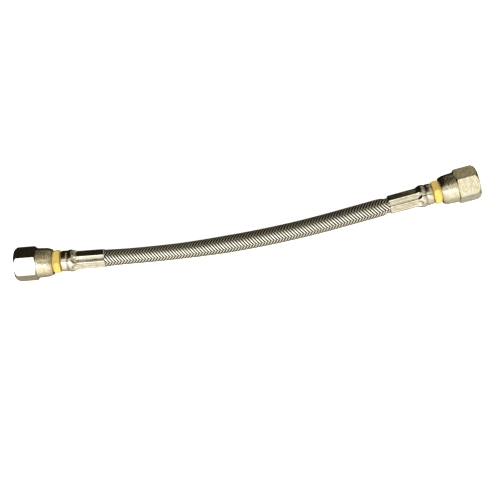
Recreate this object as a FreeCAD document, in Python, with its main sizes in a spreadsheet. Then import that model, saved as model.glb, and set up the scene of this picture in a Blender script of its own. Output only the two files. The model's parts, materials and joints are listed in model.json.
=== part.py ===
"""Braided fuel hose: a fluoropolymer tube in a stainless wire braid, with the same crimped swivel fitting on each end.

Each fitting is a hexagon swivel nut on a turned brass stem, and a steel ferrule that is crimped over the hose.
The nuts turn freely, so the hose lies on both nuts and on the middle of its bow. X runs from the left fitting to
the right one, Z is up, and the origin is on the surface it lies on, midway between the fittings. All lengths are in
millimetres.
"""

import FreeCAD, Part
import Sketcher
import math
import os

HEX_CORNER = 2.0 / math.sqrt(3.0)

doc = FreeCAD.newDocument("BraidedFuelHose")
sheet = doc.addObject("Spreadsheet::Sheet", "Sizes")

# Driving dimensions

SIZES = [
    ("end_to_end", 340.0, "between the outer faces of the two nuts, straight across"),
    ("left_turn", -7.0, "degrees from that straight line to the left fitting's axis, in the plane of the bow"),
    ("right_turn", 5.7, "degrees from that straight line to the right fitting's axis, in the plane of the bow"),
    ("end_offset", 0.8, "how far the nuts' outer faces lie off the X axis, so that the fittings are centred on it"),
    ("rest_play", 0.03, "between the middle of the bow and the surface that the hose lies on"),
    ("left_stem_spin", 29.0, "degrees from a flat on top to how the left stem's hexagon stands"),
    ("right_stem_spin", -13.0, "degrees from a flat on top to how the right stem's hexagon stands"),
    ("left_die_spin", -12.0, "degrees from a pressed face on top to how the left ferrule was crimped"),
    ("right_die_spin", 14.5, "degrees from a pressed face on top to how the right ferrule was crimped"),
    ("liner_bore", 8.0, "fuel way of the liner"),
    ("liner_wall", 0.8, "wall of the extruded liner"),
    ("braid_wall", 0.85, "thickness of the wire braid"),
    ("braid_play", 0.05, "between the liner and the braid, on radius"),
    ("nut_flats", 22.2, "across the flats of the swivel nut"),
    ("nut_hex_length", 16.0, "length of the nut's hexagon"),
    ("nut_length", 27.0, "whole length of the swivel nut"),
    ("face_setback", 0.4, "from the nut's flats in to the circle where its outer chamfer starts"),
    ("nut_chamfer_rise", 30.0, "degrees from the nut's face to its outer chamfer"),
    ("nut_corner_rise", 30.0, "degrees from the nut's face to the chamfer behind its hexagon"),
    ("skirt_step", 0.1, "from the nut's flats in to the round skirt"),
    ("skirt_wall", 1.5, "wall of the skirt where it starts to roll in"),
    ("lip_roll", 3.8, "length of skirt that is rolled in over the stem's shoulder"),
    ("lip_face", 2.5, "width of the rolled lip's end face"),
    ("thread_minor", 17.5, "inside the crests of the nut's thread"),
    ("thread_length", 12.0, "length of the nut's thread, from its outer face"),
    ("thread_entry", 0.9, "countersink at the thread's mouth, on radius"),
    ("head_clear", 0.35, "how much wider than the thread the bore behind it is, on radius"),
    ("head_play", 0.1, "between the stem's head and that bore, on radius"),
    ("shoulder_play", 0.4, "end play of the stem's shoulder against the rolled lip"),
    ("neck_play", 0.3, "between the stem's neck and the lip, on radius"),
    ("seat_rim", 1.2, "flat rim of the stem's head, outside its flare seat"),
    ("seat_rise", 37.0, "degrees from the stem's axis to its flare seat"),
    ("head_setback", 1.8, "from the end of the thread to the stem's front face"),
    ("neck_across", 13.2, "diameter of the stem's neck, through the lip"),
    ("washer_step", 0.35, "from the stem's flats in to the round face in front of them"),
    ("washer_length", 0.7, "length of that round face"),
    ("washer_gap", 0.4, "from the nut's lip to the round face"),
    ("stem_flats", 15.9, "across the flats of the stem's hexagon"),
    ("stem_hex_length", 4.6, "length of the stem's hexagon"),
    ("stem_chamfer", 0.35, "chamfer at both ends of the stem's hexagon"),
    ("stop_step", 0.5, "how far the shoulder that the cut hose butts against stands out over the braid"),
    ("stop_length", 3.8, "length of that shoulder"),
    ("lock_depth", 1.0, "depth of the stem's groove that the ferrule locks into"),
    ("lock_play", 0.1, "between the ferrule's flange and the stem's groove"),
    ("barb_depth", 0.45, "depth of the barbs on the stem's tail"),
    ("barb_play", 0.05, "between the barbs and the liner, on radius"),
    ("tail_wall", 0.5, "wall of the stem's tail between the barbs"),
    ("tail_setback", 2.0, "from the end of the tail to the ferrule's mouth"),
    ("ferrule_gap", 0.8, "from the stem's hexagon to the ferrule"),
    ("ferrule_length", 31.6, "whole length of the ferrule"),
    ("flange_length", 2.4, "length of the ferrule's inner flange"),
    ("collar_wall", 1.4, "wall of the ferrule's plain collar"),
    ("collar_length", 4.4, "length of the collar, up to its groove"),
    ("groove_depth", 0.4, "depth of the turned line beside the collar"),
    ("groove_width", 0.7, "width of that line"),
    ("bulge_length", 6.6, "length of the uncrimped bulge"),
    ("bulge_height", 1.15, "how far the bulge stands out over the ribs"),
    ("rib_height", 0.5, "how far the ribs stand out over the pressed faces"),
    ("crimp_wall", 0.8, "wall of the ferrule under the pressed faces"),
    ("rib_width", 11.0, "degrees of each rib between two dies"),
    ("die_nose", 4.0, "radius of the die's nose, which leaves the scooped end of each pressed face"),
    ("mouth_round", 0.35, "edge rounding at the ferrule's two ends"),
    ("mouth_flare", 0.3, "how far the ferrule's mouth opens like a bell, on radius"),
    ("crimp_play", 0.05, "between the braid and the ferrule, on radius"),
]

DIE_COUNT = 8
BARB_COUNT = 3

for row, (alias, number, note) in enumerate(SIZES, start=1):
    sheet.set("A%d" % row, alias)
    sheet.set("B%d" % row, str(number))
    sheet.set("C%d" % row, note)
    sheet.setAlias("B%d" % row, alias)
doc.recompute()


class Measure:
    """A length that carries both its value and the formula over the sheet's cells that gives it."""

    def __init__(self, value, formula):
        self.value = value
        self.formula = formula

    def joined(self, sign, other, value):
        return Measure(value, "(%s %s %s)" % (self.formula, sign, other.formula))

    def __add__(self, other):
        other = measure(other)
        return self.joined("+", other, self.value + other.value)

    def __sub__(self, other):
        other = measure(other)
        return self.joined("-", other, self.value - other.value)

    def __mul__(self, other):
        other = measure(other)
        return self.joined("*", other, self.value * other.value)

    def __truediv__(self, other):
        other = measure(other)
        return self.joined("/", other, self.value / other.value)

    def __neg__(self):
        return measure(0) - self


def measure(number):
    """Any plain number as a Measure."""
    if isinstance(number, Measure):
        return number
    return Measure(float(number), "%.9g" % number)


def cell(alias):
    """The Measure that stands for one cell of the sheet."""
    return Measure(float(sheet.get(alias)), "Sizes." + alias)


def slope(alias):
    """The tangent of an angle kept in the sheet, in degrees."""
    angle = cell(alias)
    return Measure(math.tan(math.radians(angle.value)), "tan(%s * 1deg)" % angle.formula)


# Sizes that several pieces share

nut_radius = cell("nut_flats") / 2
stem_radius = cell("stem_flats") / 2
lip_end = cell("nut_length")
shoulder_end = lip_end - cell("shoulder_play") * 2
washer_start = lip_end + cell("washer_gap")
stem_hex_start = washer_start + cell("washer_length")
stem_hex_end = stem_hex_start + cell("stem_hex_length")
ferrule_start = stem_hex_end + cell("ferrule_gap")
ferrule_end = ferrule_start + cell("ferrule_length")
flange_end = ferrule_start + cell("flange_length")
stop_start = flange_end + cell("lock_play")
hose_stop = stop_start + cell("stop_length")

liner_radius = cell("liner_bore") / 2
liner_outer = liner_radius + cell("liner_wall")
braid_inner = liner_outer + cell("braid_play")
braid_outer = braid_inner + cell("braid_wall")
thread_radius = cell("thread_minor") / 2
chamber_radius = thread_radius + cell("head_clear")
head_radius = chamber_radius - cell("head_play")
neck_radius = cell("neck_across") / 2
lip_radius = neck_radius + cell("neck_play")
stop_radius = braid_outer + cell("stop_step")
lock_radius = stop_radius - cell("lock_depth")


# Modelling helpers

def origin_plane(body, role):
    """One of a body's own origin planes, by its role."""
    return [feature for feature in body.Origin.OriginFeatures if feature.Role == role][0]


def arc_between(start, end, radius):
    """The shorter arc from one point to another. A positive radius bends it to the left, a negative one right."""
    chord = end - start
    left = FreeCAD.Vector(-chord.y, chord.x, 0).normalize()
    reach = math.sqrt(radius ** 2 - (chord.Length / 2) ** 2)
    centre = (start + end) / 2 + left * math.copysign(reach, radius)
    first, last = (start, end) if radius > 0 else (end, start)
    angles = [math.atan2(point.y - centre.y, point.x - centre.x) for point in (first, last)]
    if angles[1] < angles[0]:
        angles[1] += 2 * math.pi
    circle = Part.Circle(centre, FreeCAD.Vector(0, 0, 1), abs(radius))
    return Part.ArcOfCircle(circle, angles[0], angles[1])


def outline(body, name, role, corners):
    """A closed sketch whose corners are tied to the sheet by their two distances from the origin.

    A corner is followed by a straight line, or by an arc where it has a third value, the arc's radius.
    """
    sketch = body.newObject("Sketcher::SketchObject", name)
    sketch.AttachmentSupport = (origin_plane(body, role), [""])
    sketch.MapMode = "FlatFace"
    corners = [[measure(part) for part in corner] for corner in corners]
    points = [FreeCAD.Vector(corner[0].value, corner[1].value, 0) for corner in corners]
    count = len(points)
    starts = []
    ends = []
    for i, corner in enumerate(corners):
        after = points[(i + 1) % count]
        if len(corner) == 2:
            sketch.addGeometry(Part.LineSegment(points[i], after), False)
        else:
            sketch.addGeometry(arc_between(points[i], after, corner[2].value), False)
        forward = len(corner) == 2 or corner[2].value > 0
        starts.append(1 if forward else 2)
        ends.append(2 if forward else 1)
    for i in range(count):
        sketch.addConstraint(Sketcher.Constraint("Coincident", i, ends[i], (i + 1) % count, starts[(i + 1) % count]))
    for i, corner in enumerate(corners):
        for kind, axis, place in (("DistanceX", -2, corner[0]), ("DistanceY", -1, corner[1])):
            if abs(place.value) < 1e-9:
                sketch.addConstraint(Sketcher.Constraint("PointOnObject", i, starts[i], axis))
                continue
            index = sketch.addConstraint(Sketcher.Constraint(kind, -1, 1, i, starts[i], place.value))
            sketch.setExpression("Constraints[%d]" % index, place.formula)
        if len(corner) == 3:
            index = sketch.addConstraint(Sketcher.Constraint("Radius", i, abs(corner[2].value)))
            sign = "" if corner[2].value > 0 else "-"
            sketch.setExpression("Constraints[%d]" % index, sign + "(" + corner[2].formula + ")")
    return sketch


def arc_radius(chord, rise):
    """The radius of an arc from its chord and its rise above the chord."""
    return chord * chord / (rise * 8) + rise / 2


def pad(body, name, sketch, length):
    """A prism from a sketch on the XY plane, along +Z."""
    feature = body.newObject("PartDesign::Pad", name)
    feature.Profile = sketch
    feature.setExpression("Length", length.formula)
    doc.recompute()
    return feature


def turned(body, name, sketch, kind="PartDesign::Revolution"):
    """A full turn of a half-section about the fitting's axis, added or cut away."""
    feature = body.newObject(kind, name)
    feature.Profile = sketch
    feature.ReferenceAxis = (sketch, ["V_Axis"])
    feature.Angle = 360.0
    doc.recompute()
    return feature


def turned_cut(body, name, corners):
    """A full-turn cut, checked to take material away."""
    before = body.Shape.Volume
    feature = turned(body, name, outline(body, name + "Outline", "XZ_Plane", corners), "PartDesign::Groove")
    if body.Shape.Volume >= before - 1e-6:
        raise ValueError(name + " cuts nothing")
    return feature


def round_edges(feature, radius, height):
    """The names of the circular edges of one radius at one height on the axis."""
    names = []
    for number, edge in enumerate(feature.Shape.Edges, start=1):
        if not isinstance(edge.Curve, Part.Circle):
            continue
        near = abs(edge.Curve.Radius - radius.value) < 1e-4
        if near and abs(edge.Curve.Center.z - height.value) < 1e-4:
            names.append("Edge%d" % number)
    return names


def hexagon(body, name, half, length, start):
    """A hexagonal prism with a flat on top and one below, each half its size from the axis, as one pad."""
    corner = half * HEX_CORNER
    sketch = outline(body, name + "Outline", "XY_Plane", [
        (corner, 0),
        (corner / 2, half),
        (-corner / 2, half),
        (-corner, 0),
        (-corner / 2, -half),
        (corner / 2, -half),
    ])
    sketch.setExpression("AttachmentOffset.Base.z", start.formula)
    return pad(body, name, sketch, length)


# The swivel nut: a hexagon, and a round skirt whose end is rolled in over the stem's shoulder

def make_nut(label):
    body = doc.addObject("PartDesign::Body", label)
    body.Label = label
    hex_length = cell("nut_hex_length")
    beyond = nut_radius * HEX_CORNER + 1
    hexagon(body, "Hexagon", nut_radius, hex_length, measure(0))
    roll_start = lip_end - cell("lip_roll")
    skirt_radius = nut_radius - cell("skirt_step")
    waist_radius = chamber_radius + cell("skirt_wall")
    mouth_radius = lip_radius + cell("lip_face")
    drop = waist_radius - mouth_radius
    roll_radius = (cell("lip_roll") * cell("lip_roll") + drop * drop) / (drop * 2)
    turned(body, "Skirt", outline(body, "SkirtOutline", "XZ_Plane", [
        (0, hex_length / 2),
        (skirt_radius, hex_length / 2),
        (skirt_radius, hex_length),
        (waist_radius, roll_start, roll_radius),
        (mouth_radius, lip_end),
        (0, lip_end),
    ]))
    end_circle = nut_radius - cell("face_setback")
    turned_cut(body, "OuterChamfer", [
        (end_circle, 0),
        (beyond, (beyond - end_circle) * slope("nut_chamfer_rise")),
        (beyond, measure(-1)),
        (end_circle, measure(-1)),
    ])
    turned_cut(body, "InnerChamfer", [
        (skirt_radius, hex_length),
        (beyond, hex_length - (beyond - skirt_radius) * slope("nut_corner_rise")),
        (beyond, hex_length + 1),
        (skirt_radius, hex_length + 1),
    ])
    entry = cell("thread_entry")
    cone_end = shoulder_end + cell("shoulder_play")
    turned_cut(body, "Bore", [
        (0, measure(-1)),
        (thread_radius + entry, measure(-1)),
        (thread_radius + entry, 0),
        (thread_radius, entry),
        (thread_radius, cell("thread_length")),
        (chamber_radius, cell("thread_length") + cell("head_clear")),
        (chamber_radius, cone_end - (chamber_radius - lip_radius)),
        (lip_radius, cone_end),
        (lip_radius, lip_end + 1),
        (0, lip_end + 1),
    ])
    return body


# The stem: flare seat and head inside the nut, neck, hexagon, ferrule groove and a barbed tail, in one turned piece

def make_stem(label):
    body = doc.addObject("PartDesign::Body", label)
    body.Label = label
    hexagon(body, "Hexagon", stem_radius, cell("stem_hex_length"), stem_hex_start)
    front = cell("thread_length") + cell("head_setback")
    mouth = head_radius - cell("seat_rim")
    crest = liner_radius - cell("barb_play")
    root = crest - cell("barb_depth")
    bore = root - cell("tail_wall")
    washer = stem_radius - cell("washer_step")
    turning_end = stem_hex_end - cell("stem_chamfer")
    tail_end = ferrule_end - cell("tail_setback")
    pitch = (tail_end - hose_stop) / (BARB_COUNT + 1)
    section = [
        (bore, front + (mouth - bore) / slope("seat_rise")),
        (mouth, front),
        (head_radius, front),
        (head_radius, shoulder_end - (head_radius - neck_radius)),
        (neck_radius, shoulder_end),
        (neck_radius, washer_start),
        (washer, washer_start),
        (washer, turning_end),
        (lock_radius, turning_end),
        (lock_radius, stop_start),
        (stop_radius, stop_start),
        (stop_radius, hose_stop),
        (root, hose_stop),
    ]
    for barb in range(BARB_COUNT):
        foot = hose_stop + pitch * (barb + 0.5)
        section.append((root, foot))
        section.append((crest, foot))
        section.append((root, foot + pitch * 0.8))
    section.append((root, tail_end))
    section.append((bore, tail_end))
    turned(body, "Turning", outline(body, "TurningOutline", "XZ_Plane", section))
    beyond = stem_radius * HEX_CORNER + 1
    bevel = cell("stem_chamfer")
    for name, face, away in (("NearChamfer", stem_hex_start, -1), ("FarChamfer", stem_hex_end, 1)):
        turned_cut(body, name, [
            (stem_radius - bevel / 2, face),
            (beyond, face - (beyond - stem_radius) * slope("nut_chamfer_rise") * away),
            (beyond, face + away),
            (stem_radius - bevel / 2, face + away),
        ])
    return body


# The ferrule: plain collar, turned line, uncrimped bulge, and eight pressed faces with a rib between each two

def make_ferrule(label):
    body = doc.addObject("PartDesign::Body", label)
    body.Label = label
    hose_bore = braid_outer + cell("crimp_play")
    pressed = hose_bore + cell("crimp_wall")
    rib = pressed + cell("rib_height")
    bulge = rib + cell("bulge_height")
    pocket = stop_radius + cell("lock_play")
    flange_hole = lock_radius + cell("lock_play")
    collar = pocket + cell("collar_wall")
    half_line = cell("groove_width") / 2
    line = ferrule_start + cell("collar_length")
    bulge_start = line + half_line
    bulge_end = bulge_start + cell("bulge_length")
    bulge_round = arc_radius(cell("bulge_length"), bulge - (collar + rib) / 2)
    flare = cell("mouth_flare")
    turning = turned(body, "Turning", outline(body, "TurningOutline", "XZ_Plane", [
        (flange_hole, ferrule_start),
        (collar, ferrule_start),
        (collar, line - half_line),
        (collar - cell("groove_depth"), line),
        (collar, bulge_start, bulge_round),
        (rib, bulge_end),
        (rib, ferrule_end),
        (hose_bore + flare, ferrule_end),
        (hose_bore, ferrule_end - flare * 3),
        (hose_bore, hose_stop),
        (pocket, hose_stop),
        (pocket, flange_end),
        (flange_hole, flange_end),
    ]))
    softened = body.newObject("PartDesign::Fillet", "SoftEnds")
    softened.Base = (turning, round_edges(turning, collar, ferrule_start) + round_edges(turning, rib, ferrule_end))
    softened.setExpression("Radius", "Sizes.mouth_round")
    doc.recompute()
    nose = cell("die_nose")
    beyond = bulge + 1
    nose_length = nose * math.sin(math.radians(60))
    nose_end = bulge_end - nose_length
    sketch = outline(body, "DieOutline", "XZ_Plane", [
        (pressed + nose / 2, nose_end),
        (beyond, nose_end),
        (beyond, ferrule_end + 1),
        (pressed, ferrule_end + 1),
        (pressed, nose_end + nose_length, -nose),
    ])
    before = body.Shape.Volume
    die = body.newObject("PartDesign::Groove", "Die")
    die.Profile = sketch
    die.ReferenceAxis = (sketch, ["V_Axis"])
    die.Midplane = True
    die.setExpression("Angle", "360 / %d - Sizes.rib_width" % DIE_COUNT)
    doc.recompute()
    dies = body.newObject("PartDesign::PolarPattern", "Dies")
    dies.Originals = [die]
    dies.Axis = (sketch, ["V_Axis"])
    dies.Angle = 360.0
    dies.Occurrences = DIE_COUNT
    body.Tip = dies
    doc.recompute()
    if body.Shape.Volume >= before - 1e-6:
        raise ValueError("the dies press nothing")
    return body


# How the hose lies: on the inner edge of each nut's lower flat, and on the middle of its bow

def turn_of(side):
    """The angle from the straight line between the nuts to a fitting's axis."""
    return math.radians(cell("left_turn" if side < 0 else "right_turn").value)


def rest_height(side, roll):
    """Height of the middle of a nut's outer face, when the bow's plane is rolled down by an angle."""
    dip = math.asin(abs(math.sin(turn_of(side))) * math.sin(roll))
    return nut_radius.value * math.cos(dip) + cell("nut_hex_length").value * math.sin(dip)


def lying_roll(depth):
    """The roll at which a bow of some depth comes down to the surface."""
    roll = 0.0
    for _ in range(40):
        height = (rest_height(-1, roll) + rest_height(1, roll)) / 2
        roll = math.asin((height - braid_outer.value - cell("rest_play").value) / depth)
    return roll


def bow_plane(roll):
    """The plane of the bow: X along the straight line between the nuts, Y up from the bow to that line."""
    half = cell("end_to_end").value / 2
    offset = cell("end_offset").value
    left = FreeCAD.Vector(-half, offset, rest_height(-1, roll))
    right = FreeCAD.Vector(half, offset, rest_height(1, roll))
    along = (right - left).normalize()
    level = FreeCAD.Vector(0, 0, 1).cross(along).normalize()
    across = level * math.cos(roll) + along.cross(level) * math.sin(roll)
    return FreeCAD.Placement((left + right) / 2, FreeCAD.Rotation(along, across, along.cross(across), "XYZ"))


def on_axis(side, distance):
    """A point on a fitting's axis, in the bow's plane, at some distance from its nut's outer face."""
    turn = turn_of(side)
    half = cell("end_to_end").value / 2
    return FreeCAD.Vector(side * (half - distance * math.cos(turn)), -side * distance * math.sin(turn), 0)


def fitting_placement(side, plane, spin=0.0):
    """Z along the fitting's axis towards the hose, and Y up, both turned about that axis by spin degrees."""
    start = plane.multVec(on_axis(side, 0))
    inward = (plane.multVec(on_axis(side, 1)) - start).normalize()
    upward = FreeCAD.Vector(0, 0, 1)
    upward = (upward - inward * upward.dot(inward)).normalize()
    level = FreeCAD.Placement(start, FreeCAD.Rotation(upward.cross(inward), upward, inward, "ZYX"))
    return level.multiply(FreeCAD.Placement(FreeCAD.Vector(), FreeCAD.Rotation(FreeCAD.Vector(0, 0, 1), spin)))


# The hose's route, in the plane of its bow: the cut ends are inside the ferrules

ROUTE_MIDDLE = [
    (-43.6, -14.8),
    (0.0, -15.7),
    (43.6, -14.7),
]
LEAD = 43.0


def route_points():
    """The corners of the route, from the left ferrule's stop to the right one's."""
    stop = hose_stop.value
    middle = [FreeCAD.Vector(x, y, 0) for x, y in ROUTE_MIDDLE]
    return [on_axis(-1, stop), on_axis(-1, stop + LEAD)] + middle + [on_axis(1, stop + LEAD), on_axis(1, stop)]


def route_wire(points):
    """Straight runs joined by tangent arcs, each arc as large as its two runs allow."""
    edges = []
    start = points[0]
    for before, corner, after in zip(points, points[1:], points[2:]):
        inward = (corner - before).normalize()
        outward = (after - corner).normalize()
        turn = inward.getAngle(outward)
        reach = 0.45 * min((corner - before).Length, (after - corner).Length)
        radius = reach / math.tan(turn / 2)
        first = corner - inward * reach
        last = corner + outward * reach
        crown = (outward - inward).normalize() * (radius / math.cos(turn / 2) - radius)
        edges.append(Part.LineSegment(start, first).toShape())
        edges.append(Part.Arc(first, corner + crown, last).toShape())
        start = last
        print("route corner (%.1f, %.1f): turn %.2f degrees, radius %.0f" % (
            corner.x, corner.y, math.degrees(turn), radius))
    edges.append(Part.LineSegment(start, points[-1]).toShape())
    return Part.Wire(edges)


def swept(name, radius, route):
    """A round solid of one radius along the route."""
    ring = doc.addObject("Part::Circle", name + "Ring")
    ring.setExpression("Radius", radius.formula)
    ring.Placement = FreeCAD.Placement(
        route.Shape.Vertexes[0].Point,
        FreeCAD.Rotation(FreeCAD.Vector(0, 0, 1), route.Shape.Edges[0].tangentAt(0)))
    sweep = doc.addObject("Part::Sweep", name)
    sweep.Sections = [ring]
    sweep.Spine = (route, ["Edge%d" % (i + 1) for i in range(len(route.Shape.Edges))])
    sweep.Solid = True
    sweep.Frenet = False
    return sweep


def make_tube(label, outer, inner, route):
    """A tube along the route: one swept round solid less a smaller one."""
    tube = doc.addObject("Part::Cut", label)
    tube.Label = label
    tube.Base = swept(label + "_outside", outer, route)
    tube.Tool = swept(label + "_inside", inner, route)
    doc.recompute()
    section = math.pi * (outer.value ** 2 - inner.value ** 2)
    print("%s: volume %.1f, section times length %.1f" % (label, tube.Shape.Volume, section * route.Shape.Length))
    return tube


path = route_wire(route_points())
roll = lying_roll(-path.BoundBox.YMin)
plane = bow_plane(roll)
print("bow %.2f deep, rolled down by %.2f degrees, hose length %.1f, of which exposed %.1f" % (
    -path.BoundBox.YMin, math.degrees(roll), path.Length, path.Length - 2 * (ferrule_end.value - hose_stop.value)))

pieces = []
for side, hand in ((-1, "left"), (1, "right")):
    spins = {
        "nut": 0.0,
        "stem": cell(hand + "_stem_spin").value,
        "ferrule": cell(hand + "_die_spin").value,
    }
    for maker, kind in ((make_nut, "nut"), (make_stem, "stem"), (make_ferrule, "ferrule")):
        piece = maker("%s_%s" % (hand, kind))
        piece.Placement = fitting_placement(side, plane, spins[kind])
        pieces.append(piece)

route = doc.addObject("Part::Feature", "Route")
route.Shape = path
route.Placement = plane
pieces.append(make_tube("liner", liner_outer, liner_radius, route))
pieces.append(make_tube("braid", braid_outer, braid_inner, route))
doc.recompute()

# Every object has to be sound before anything is written

for item in doc.Objects:
    if "Invalid" in item.State or "Error" in item.State:
        raise ValueError(item.Name + " failed: " + ", ".join(item.State))
for piece in pieces:
    shape = piece.Shape
    if shape.isNull() or not shape.isValid() or len(shape.Solids) != 1:
        raise ValueError(piece.Label + " is not one sound solid")

os.makedirs("parts", exist_ok=True)
for piece in pieces:
    piece.Shape.exportStep("parts/%s.step" % piece.Label)
    box = piece.Shape.BoundBox
    print("%s: %.2f cm3, X %.1f to %.1f, Y %.1f to %.1f, Z %.1f to %.1f" % (
        piece.Label, piece.Shape.Volume / 1000, box.XMin, box.XMax, box.YMin, box.YMax, box.ZMin, box.ZMax))
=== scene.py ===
# %% [markdown]
# # A braided fuel hose
# The real object is a short hose: a plastic liner in a woven jacket of stainless wire, with the same
# swivel fitting crimped on each end. The CAD model is the fixed frame here. It says where each piece
# is, and everything below is built in its own millimetres and then put there. Every piece rides on
# the CAD body that it belongs to, so the two nuts can turn.

import json
import math

import bmesh
import bpy
import numpy as np
from mathutils import Matrix, Vector


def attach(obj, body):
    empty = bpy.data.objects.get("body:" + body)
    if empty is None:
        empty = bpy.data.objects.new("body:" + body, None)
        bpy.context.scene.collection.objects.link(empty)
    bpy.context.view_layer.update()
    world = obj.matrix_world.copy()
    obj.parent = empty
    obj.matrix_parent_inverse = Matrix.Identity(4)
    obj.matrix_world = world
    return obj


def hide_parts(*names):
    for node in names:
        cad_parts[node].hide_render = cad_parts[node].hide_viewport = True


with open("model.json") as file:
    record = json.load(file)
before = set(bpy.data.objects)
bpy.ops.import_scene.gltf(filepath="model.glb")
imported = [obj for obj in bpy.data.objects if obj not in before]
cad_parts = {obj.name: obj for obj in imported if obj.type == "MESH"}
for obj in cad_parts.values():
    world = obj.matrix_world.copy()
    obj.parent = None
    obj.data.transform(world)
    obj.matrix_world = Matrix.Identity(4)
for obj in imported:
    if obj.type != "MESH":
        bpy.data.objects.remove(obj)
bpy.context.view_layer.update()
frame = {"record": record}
bpy.ops.object.select_all(action="DESELECT")
MM = 0.001

# %% [markdown]
# ## The camera
# The photograph looks at the hose from about 65 cm above it, almost straight down, a little from its
# far side and slightly turned. The camera is therefore given by the three directions of its own
# axes. A lens of 64 mm on a 36 mm sensor gives the slight perspective in which the ends of both nuts
# are seen edge on.

# %% Camera
CAMERA_PLACE = Vector((20.3, 90.8, 646.3)) * MM
CAMERA_AIM = Vector((0.1, -19.3, 11.1)) * MM
CAMERA_RIGHT = Vector((0.9837, -0.1798, 0.0))
LENS = 63.6
SENSOR = 36.0
NEAREST_SEEN = 0.01
FARTHEST_SEEN = 20.0

camera = bpy.data.objects.new("camera", bpy.data.cameras.new("camera"))
bpy.context.scene.collection.objects.link(camera)
bpy.context.scene.camera = camera
back = (CAMERA_PLACE - CAMERA_AIM).normalized()
right = (CAMERA_RIGHT - back * CAMERA_RIGHT.dot(back)).normalized()
axes = Matrix((right, back.cross(right), back)).transposed()
camera.matrix_world = Matrix.Translation(CAMERA_PLACE) @ axes.to_4x4()
camera.data.lens = LENS
camera.data.sensor_width = SENSOR
camera.data.clip_start = NEAREST_SEEN
camera.data.clip_end = FARTHEST_SEEN
print("camera distance in mm:", round((CAMERA_PLACE - CAMERA_AIM).length / MM))

# %% [markdown]
# ## Where the fittings are
# Both fittings are alike, so each of their pieces is modelled once, lying along Z: Z runs from the
# outer face of the nut towards the hose, and Y is up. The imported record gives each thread's middle
# and its axis, and from these comes the place of each fitting. The stems and the ferrules were made
# and crimped at any angle, so each of them is also turned about that axis, by the degrees below.

# %% The place of each fitting
THREAD_ENTRY = 0.9
STEM_SPIN = {"left": 29.0, "right": -13.0}
DIE_SPIN = {"left": -12.0, "right": 14.5}

fitting_place = {}
for mount in frame["record"]["mounts"]:
    side = mount["name"].split("_")[0]
    inward = -Vector(mount["axis"]).normalized()
    upward = Vector((0, 0, 1))
    upward = (upward - inward * upward.dot(inward)).normalized()
    middle = THREAD_ENTRY + mount["dims"]["length_mm"] / 2
    start = Vector(mount["pos_m"]) - inward * middle * MM
    turn = Matrix((upward.cross(inward), upward, inward)).transposed()
    fitting_place[side] = Matrix.Translation(start) @ turn.to_4x4()
    print(side, "fitting starts at", [round(value / MM, 2) for value in start])

# %% [markdown]
# ## The hose's route
# The whole hose is one cord. The points below are the corners of its route in the CAD model, in
# metres. The five between the ends are moved by up to 1.5 mm, to follow the photograph and to let
# the looser braid lie on the floor. They control one smooth NURBS spline. Everything that follows
# the hose, which is the liner and each plait of the braid, reads its line from that spline, so
# nothing is bent at a corner.

# %% The route as a smooth line
ROUTE = [
    (-0.1305, -0.00366, 0.00994),
    (-0.08782, -0.00865, 0.00787),
    (-0.0436, -0.01222, 0.00645),
    (0.0, -0.0131, 0.00663),
    (0.0436, -0.01154, 0.007),
    (0.08761, -0.00708, 0.00853),
    (0.1304, -0.00284, 0.01018),
]
STEPS_PER_POINT = 64

curve = bpy.data.curves.new("route", "CURVE")
curve.dimensions = "3D"
curve.resolution_u = STEPS_PER_POINT
spline = curve.splines.new("NURBS")
spline.points.add(len(ROUTE) - 1)
for point, place in zip(spline.points, ROUTE):
    point.co = (*place, 1.0)
spline.order_u = 3
spline.use_endpoint_u = True
route = bpy.data.objects.new("route", curve)
route_mesh = bpy.data.meshes.new_from_object(route)
route_line = np.array([vert.co for vert in route_mesh.vertices])
bpy.data.objects.remove(route)
bpy.data.meshes.remove(route_mesh)
route_steps = np.linalg.norm(np.diff(route_line, axis=0), axis=1)
route_run = np.concatenate([[0.0], np.cumsum(route_steps)])
print("route length in mm:", round(route_run[-1] / MM, 1))

# %% [markdown]
# ## Points and directions along the hose
# A braid needs more than a line: it needs to know at each point which way is along the hose, which
# is up and which is the near side. A curve's own tilt could carry that, but reading the line a
# little ahead and a little behind gives it with plain vectors. The route starts at the stop for the
# cut hose, and the braid is woven from 3 mm inside one ferrule's mouth to 3 mm inside the other's.

# %% Along the hose
HOSE_STOP = 39.8
FERRULE_END = 65.1
WOVEN_INSIDE = 3.0
LOOK_AHEAD = 0.5 * MM


def on_route(run):
    """The route's point at each distance along it."""
    return np.stack([np.interp(run, route_run, route_line[:, axis]) for axis in range(3)], axis=1)


def along_hose(run):
    """The hose's middle at each distance, and the directions along it, to its top and its near side."""
    forward = on_route(run + LOOK_AHEAD) - on_route(run - LOOK_AHEAD)
    forward /= np.linalg.norm(forward, axis=1)[:, None]
    top = np.array([0.0, 0.0, 1.0]) - forward * forward[:, 2:]
    top /= np.linalg.norm(top, axis=1)[:, None]
    return on_route(run), forward, top, np.cross(forward, top)


inside = (FERRULE_END - HOSE_STOP - WOVEN_INSIDE) * MM
hose_start = inside
hose_end = route_run[-1] - inside
print("woven hose in mm:", round((hose_end - hose_start) / MM, 1))

# %% [markdown]
# ## Materials: three small helpers
# A colour is written as its sRGB hex value, the way a colour picker shows it, and turned to the
# linear value that a shader works with. One function adds a node, sets it up and links it. The
# turned pieces carry an attribute with each point's place in the fitting's own millimetres, so a
# turned line or a streak follows the piece, and a pattern's scale is one over its real size.


# %% Helpers for materials
def linear(hex_value):
    """A linear colour from its sRGB hex value."""
    parts = [int(hex_value[start:start + 2], 16) / 255 for start in (1, 3, 5)]
    return (*[part / 12.92 if part <= 0.04045 else ((part + 0.055) / 1.055) ** 2.4
              for part in parts], 1.0)


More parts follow.
